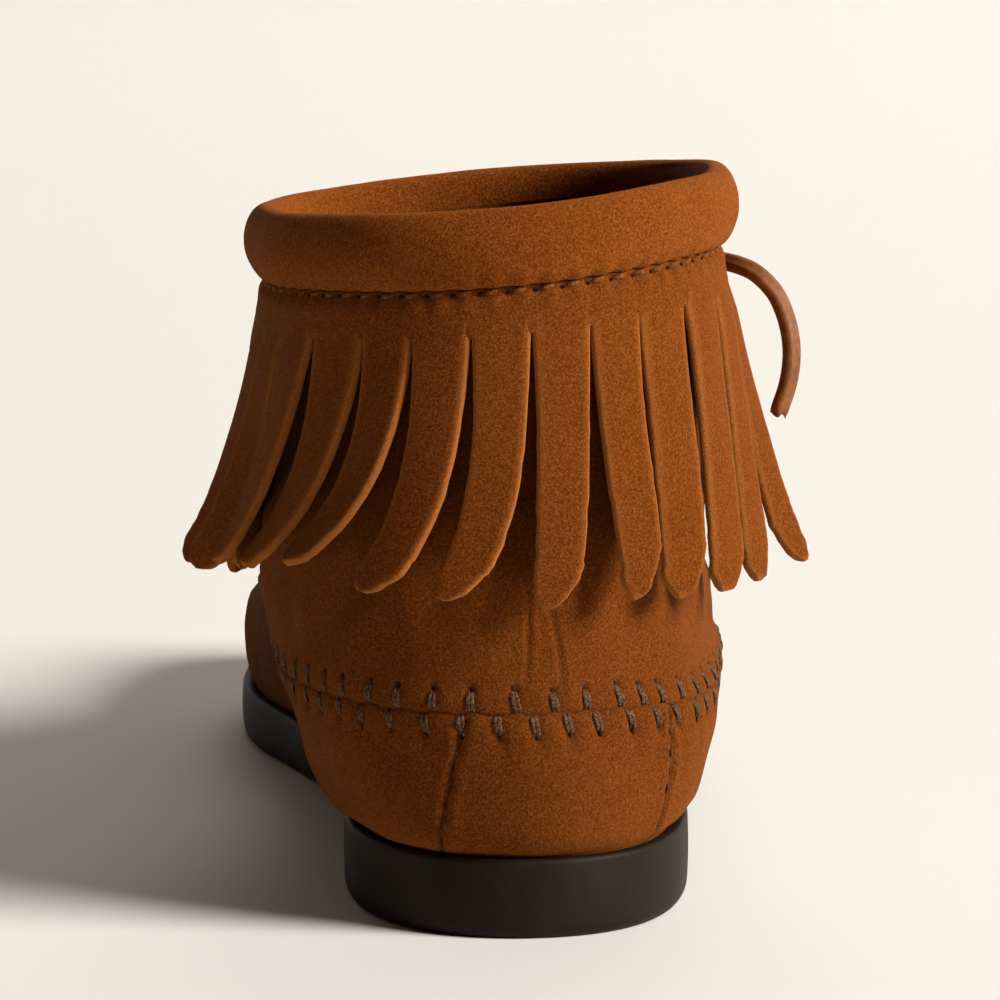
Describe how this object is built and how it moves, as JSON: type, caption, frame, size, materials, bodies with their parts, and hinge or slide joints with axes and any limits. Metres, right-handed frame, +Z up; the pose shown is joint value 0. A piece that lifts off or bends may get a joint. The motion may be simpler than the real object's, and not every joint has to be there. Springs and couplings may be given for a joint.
{
  "type": "moccasin boot",
  "caption": "Suede ankle moccasin boot for a right foot with a rolled collar, leather fringe, whip-stitched seam, thong tie and a low rubber cup sole.",
  "frame": {"origin": "on the floor, at the middle of the heel's flat tread", "axes": "+Z up, +Y from heel to toe along the sole, +X to the outer side of the foot"},
  "size_m": [0.1119, 0.2551, 0.1307],
  "materials": {
    "sole": "smooth dark brown rubber, slightly satin",
    "insole": "plain tan leather sock",
    "suede": "brown suede with a short mottled nap",
    "thong": "dark brown leather thong"
  },
  "bodies": {
    "root": {"outsole": "sole", "insole": "insole", "upper": "suede", "collar_roll": "suede", "fringe": "suede", "lace_knot": "thong", "lace_end_outer": "thong"}
  },
  "joints": []
}
